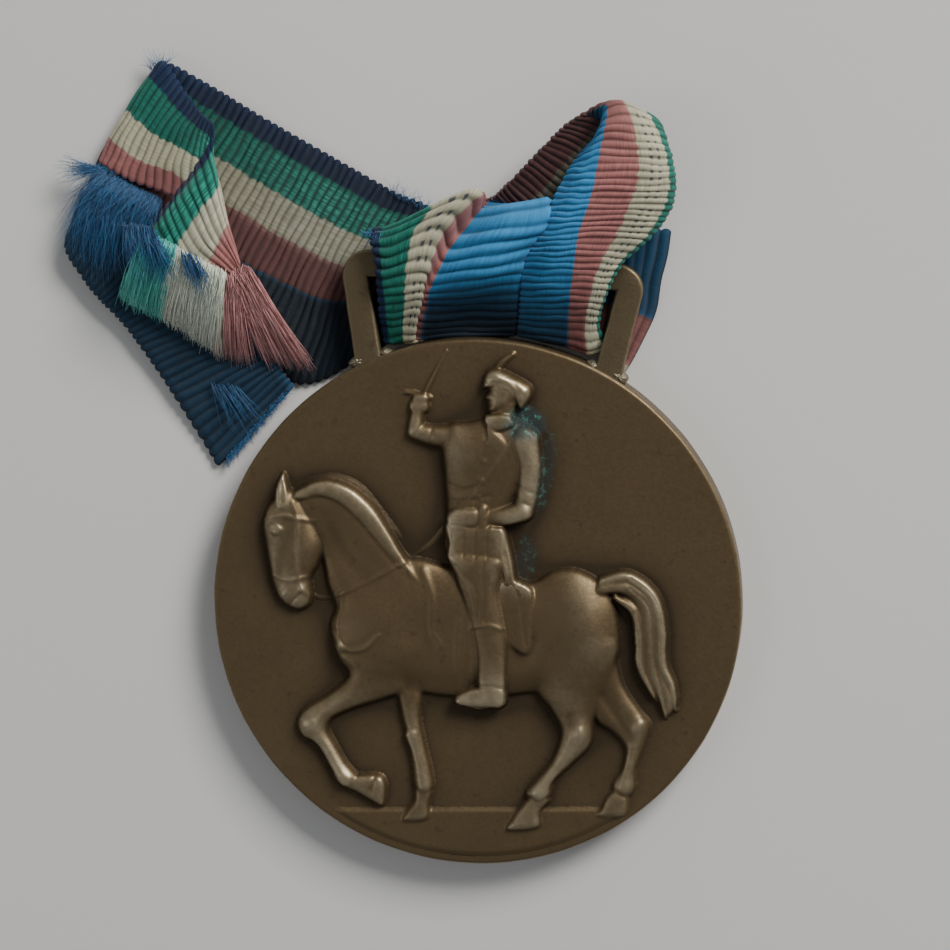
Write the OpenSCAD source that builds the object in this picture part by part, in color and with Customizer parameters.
// Military service medal: a struck bronze disc with a mounted rider in relief,
// a brazed wire-strip bail, and a worn striped ribbon laid through the bail.
// The back of the disc lies on z = 0, the bail points along +Y.

/* [Disc] */
// Diameter of the disc
disc_d = 32; // [30:0.5:33]
// Thickness of the disc at its field
disc_t = 2.2; // [1.9:0.1:2.4]
// Width of the small bevel round both rims
rim_bevel = 0.2; // [0.1:0.05:0.4]
// How far the horse stands out of the field
horse_rise = 0.7; // [0.4:0.1:0.8]
// How far the rider stands out of the field
rider_rise = 1.0; // [0.9:0.1:1.4]

/* [Bail] */
// Width of the bail's flat strip
strip_w = 1.6; // [1.4:0.1:1.7]
// Thickness of the bail's flat strip
strip_t = 0.9; // [0.7:0.1:1]
// Height of the bail's middle plane above the back of the disc
bail_z = 1.5; // [1.45:0.05:1.6]
// Half of the distance between the bail's feet
foot_x = 7.1; // [6.9:0.1:7.3]
// Half of the distance between the bail's upper corners
corner_x = 8.4; // [8.2:0.1:8.6]
// Distance from the disc's centre to the crossbar
crossbar_y = 20.1; // [20:0.1:20.5]
// Radius of each braze bead
bead_r = 0.55; // [0.4:0.05:0.6]

/* [Ribbon] */
// Thickness of the woven ribbon
ribbon_t = 0.4; // [0.3:0.05:0.45]
// Width of one loose bundle of warp threads
bundle_w = 1.2; // [0.8:0.1:1.4]

/* [Hidden] */
$fn = 64;

disc_r = disc_d / 2;
foot_y = sqrt(disc_r * disc_r - foot_x * foot_x);   // where an arm meets the rim
foot_sink = 0.25;                                   // how deep the arm's end is let into the braze
bronze = "#5a4a33";
worn_bronze = "#8b7d60";

// ---- flat outlines -------------------------------------------------------------

// A round-ended bar from p to q whose ends have radii rp and rq.
module limb(p, q, rp, rq) {
    hull() {
        translate(p) circle(r = rp, $fn = 24);
        translate(q) circle(r = rq, $fn = 24);
    }
}

// A chain of limbs; each joint is [x, y, radius].
module chain(joints) {
    for (i = [0 : len(joints) - 2])
        limb([joints[i][0], joints[i][1]], [joints[i + 1][0], joints[i + 1][1]],
             joints[i][2], joints[i + 1][2]);
}

// ---- ribbon sheet --------------------------------------------------------------

// A ribbon run is a list of cross lines [narrow stripe's edge, wide stripe's edge].
// Each cross line gets four corners, half a thickness either side of the sheet.
function cross_normal(lines, i) =
    let (before = lines[max(i - 1, 0)], after = lines[min(i + 1, len(lines) - 1)],
         along = after[0] + after[1] - before[0] - before[1],
         across = lines[i][0] - lines[i][1],
         n = cross(along, across))
    n / norm(n);

function corners(lines) = [
    for (i = [0 : len(lines) - 1])
        let (lift = cross_normal(lines, i) * ribbon_t / 2)
        each [lines[i][0] + lift, lines[i][1] + lift, lines[i][1] - lift, lines[i][0] - lift]
];

function skin(count) = [
    [0, 1, 2], [0, 2, 3],
    for (i = [0 : count - 2]) for (side = [0 : 3])
        let (a = 4 * i + side, b = 4 * i + (side + 1) % 4)
        each [[a, a + 4, b + 4], [a, b + 4, b]],
    [4 * count - 4, 4 * count - 2, 4 * count - 3], [4 * count - 4, 4 * count - 1, 4 * count - 2]
];

module sheet_run(lines) {
    polyhedron(points = corners(lines), faces = skin(len(lines)), convexity = 4);
}

// Loose warp threads pulled out of the cut end, lying as one flat bundle from p to q.
module thread_bundle(p, q) {
    side = cross(q - p, [0, 0, 1]);
    half = side / norm(side) * bundle_w / 2;
    sheet_run([[p - half * 0.6, p + half * 0.6], [(p + q) / 2 - half, (p + q) / 2 + half],
               [q - half * 0.5, q + half * 0.5]]);
}

// Cross lines of each run, millimetres, in order from the cut end on the right.
tail_lines = [
    [[8.5, 14.4, 0.3], [10.5, 22.8, 0.3]],
    [[6.6, 15.3, 0.3], [7.0, 22.6, 0.3]],
    [[4.6, 15.9, 0.3], [3.2, 21.4, 0.3]]];
right_lines = [
    [[6.3, 15.7, 0.9], [1.9, 16.4, 0.9]],
    [[6.6, 17.4, 1.7], [1.9, 17.6, 1.7]],
    [[6.8, 18.8, 2.6], [2.0, 18.8, 2.6]],
    [[7.2, 20.1, 3.0], [2.2, 20.1, 3.0]],
    [[8.8, 22.3, 3.4], [2.9, 22.4, 3.2]],
    [[10.1, 25.2, 3.8], [3.6, 25.0, 3.5]],
    [[10.1, 27.4, 4.2], [4.4, 27.0, 4.0]],
    [[9.6, 29.2, 4.4], [5.4, 28.6, 4.3]]];
crown_lines = [
    [[9.6, 29.2, 4.4], [5.4, 28.6, 4.3]],
    [[9.3, 30.2, 3.9], [5.9, 29.6, 3.9]],
    [[9.2, 30.6, 3.0], [6.1, 30.0, 3.0]],
    [[9.3, 30.1, 2.1], [6.0, 29.5, 2.1]]];
return_lines = [
    [[9.3, 30.1, 2.1], [6.0, 29.5, 2.1]],
    [[8.8, 27.6, 1.5], [3.2, 27.6, 1.6]],
    [[6.6, 25.0, 1.2], [0.6, 26.2, 1.4]],
    [[3.6, 23.0, 1.3], [-2.2, 24.6, 1.9]]];
left_lines = [
    [[-5.4, 23.0, 2.6], [3.2, 23.9, 3.4]],
    [[-6.5, 21.6, 3.0], [2.0, 21.8, 3.3]],
    [[-6.6, 20.1, 3.0], [1.7, 20.1, 3.0]],
    [[-6.5, 18.8, 2.6], [1.5, 18.8, 2.6]],
    [[-6.3, 17.4, 1.7], [1.5, 17.6, 1.7]],
    [[-5.8, 15.9, 0.9], [1.4, 16.4, 0.9]]];
band_lines = [
    [[-3.6, 22.8, 0.3], [-5.2, 15.7, 0.3]],
    [[-5.6, 24.0, 0.3], [-7.8, 14.7, 0.3]],
    [[-8.6, 25.4, 0.3], [-10.6, 12.7, 0.3]],
    [[-13.0, 27.8, 0.3], [-13.8, 13.4, 0.3]],
    [[-18.8, 30.7, 0.3], [-22.0, 17.0, 0.3]],
    [[-20.8, 31.4, 0.5], [-25.6, 20.0, 0.5]]];
flap_lines = [
    [[-20.8, 31.4, 0.9], [-24.0, 24.4, 0.9]],
    [[-19.9, 29.6, 2.2], [-20.4, 22.4, 2.2]],
    [[-17.6, 27.2, 2.9], [-14.8, 19.8, 2.9]]];
turned_lines = [
    [[-17.7, 27.0, 3.3], [-14.6, 19.4, 3.3]],
    [[-19.9, 23.4, 2.9], [-15.4, 18.2, 2.9]],
    [[-22.3, 19.2, 1.9], [-16.6, 16.6, 1.9]]];
torn_lines = [
    [[-20.4, 23.4, 1.2], [-25.4, 20.0, 1.2]],
    [[-17.2, 19.2, 1.0], [-22.0, 15.4, 1.0]],
    [[-13.8, 14.6, 0.9], [-18.6, 10.9, 0.7]],
    [[-12.5, 12.1, 0.7], [-15.8, 7.6, 0.3]]];

// ---- sub-parts -----------------------------------------------------------------

// The struck disc: a flat back, a flat field and a small bevel at each rim.
module medal_disc() {
    color(bronze) rotate_extrude()
        polygon([[0, 0], [disc_r - rim_bevel, 0], [disc_r, rim_bevel], [disc_r, disc_t - rim_bevel],
                 [disc_r - rim_bevel, disc_t], [0, disc_t]]);
}

// The walking horse, its head to the left, on a strip of ground.
module horse_outline() {
    chain([[-11.1, 0.6, 0.9], [-10.8, 4.6, 1.6], [-8.4, 4.9, 2.0], [-5.8, 0.6, 3.2]]);   // head, neck
    chain([[-5.6, -1.4, 3.6], [0, -1.8, 3.6], [5.0, -1.4, 3.6]]);                          // barrel
    chain([[-5.9, -4.4, 1.3], [-9.4, -7.0, 0.8], [-7.6, -10.8, 0.5], [-5.6, -11.9, 0.7]]); // raised leg
    chain([[-4.0, -4.8, 1.1], [-3.1, -9.0, 0.6], [-2.6, -12.9, 0.7]]);                     // standing leg
    chain([[5.6, -4.0, 1.8], [6.5, -7.3, 0.9], [3.6, -11.4, 0.5], [2.9, -12.9, 0.8]]);     // near hind leg
    chain([[7.6, -3.6, 1.2], [9.9, -7.1, 0.8], [9.6, -10.4, 0.5], [8.9, -12.1, 0.7]]);     // far hind leg
    chain([[7.4, 1.4, 0.6], [9.6, 1.2, 1.0], [10.8, -1.6, 1.0], [11.3, -4.8, 0.6]]);       // tail
    translate([-8.9, -13.5]) rotate(4) square([18, 0.5]);                                  // ground
}

// The rider in uniform, holding up a short sword.
module rider_outline() {
    limb([1.1, 12.3], [1.4, 13.4], 0.9, 1.2);                                              // head, helmet
    chain([[0.9, 4.6, 1.6], [0.6, 8.8, 2.4], [1.1, 11.4, 0.8]]);                           // tunic, neck
    chain([[-0.3, 2.8, 1.4], [0.5, -1.4, 1.0], [0.8, -5.2, 0.8], [-0.4, -5.5, 0.5]]);      // leg, boot
    chain([[2.6, 9.4, 0.9], [3.0, 6.2, 0.8], [-0.9, 5.5, 0.6]]);                           // rein arm
    chain([[-1.6, 9.6, 0.9], [-4.1, 10.0, 0.7], [-4.0, 12.2, 0.5], [-2.6, 15.0, 0.2]]);    // arm, sword
}

module horse_relief() {
    color(bronze) translate([0, 0, disc_t]) linear_extrude(horse_rise) horse_outline();
}

// The rider stands higher than the horse and is cut away where the horse carries the figure.
module rider_relief() {
    color(worn_bronze) translate([0, 0, disc_t]) difference() {
        linear_extrude(rider_rise) rider_outline();
        translate([0, 0, -1]) linear_extrude(horse_rise + 1) horse_outline();
    }
}

// The bail's outline: two arms that lean outwards, round corners and a straight crossbar.
module bail_outline(grow) {
    foot = [foot_x, foot_y - foot_sink];
    corner = [corner_x, crossbar_y];
    for (side = [0, 1]) mirror([side, 0]) {
        lean = atan2(corner[0] - foot[0], corner[1] - foot[1]);
        translate(foot) rotate(-lean) translate([-grow, 0]) square([2 * grow, norm(corner - foot)]);
        translate(corner) circle(r = grow);
        translate([0, crossbar_y - grow]) square([corner_x, 2 * grow]);
    }
}

// The flat strip bent into a frame, its feet cut to the disc's rim.
module suspension_bail() {
    color(bronze) translate([0, 0, bail_z - strip_t / 2]) difference() {
        linear_extrude(strip_t) bail_outline(strip_w / 2);
        translate([0, 0, -1]) cylinder(r = disc_r, h = strip_t + 2, $fn = 128);
    }
}

// A bead of braze on the outer side of each foot.
module braze_joints() {
    color(worn_bronze) for (side = [0, 1]) mirror([side, 0, 0])
        difference() {
            translate([foot_x + strip_w / 2, foot_y - 0.1, bail_z]) sphere(r = bead_r, $fn = 32);
            translate([0, 0, -1]) cylinder(r = disc_r, h = disc_t + 2, $fn = 128);
            translate([0, 0, bail_z - strip_t / 2]) linear_extrude(strip_t) bail_outline(strip_w / 2);
        }
}

module ribbon_end_tail() { color("#173f5f") sheet_run(tail_lines); }
module ribbon_right_run() { color("#3d7cb5") sheet_run(right_lines); }
module ribbon_loop_crown() { color("#a7aea5") sheet_run(crown_lines); }
module ribbon_loop_return() { color("#7a5a52") sheet_run(return_lines); }
module ribbon_left_run() { color("#448cb2") sheet_run(left_lines); }
module ribbon_back_band() { color("#1f4a55") sheet_run(band_lines); }
module ribbon_fold_flap() { color("#6d8a78") sheet_run(flap_lines); }
module ribbon_turned_end() { color("#40bcb4") sheet_run(turned_lines); }
module ribbon_torn_strip() { color("#034a63") sheet_run(torn_lines); }

module green_warp_threads() { color("#2b8a80") thread_bundle([-21.6, 19.0, 1.5], [-20.2, 16.8, 1.3]); }
module cream_warp_threads() { color("#b0bcaf") thread_bundle([-18.6, 17.6, 1.5], [-17.2, 15.2, 1.2]); }
module pink_warp_threads() { color("#9a6e6c") thread_bundle([-14.9, 18.4, 2.6], [-11.6, 14.2, 1.5]); }
module blue_warp_threads() { color("#5fa0c8") thread_bundle([-24.6, 22.6, 2.1], [-23.4, 18.0, 1.9]); }

medal_disc();
horse_relief();
rider_relief();
suspension_bail();
braze_joints();
ribbon_end_tail();
ribbon_right_run();
ribbon_loop_crown();
ribbon_loop_return();
ribbon_left_run();
ribbon_back_band();
ribbon_fold_flap();
ribbon_turned_end();
ribbon_torn_strip();
green_warp_threads();
cream_warp_threads();
pink_warp_threads();
blue_warp_threads();
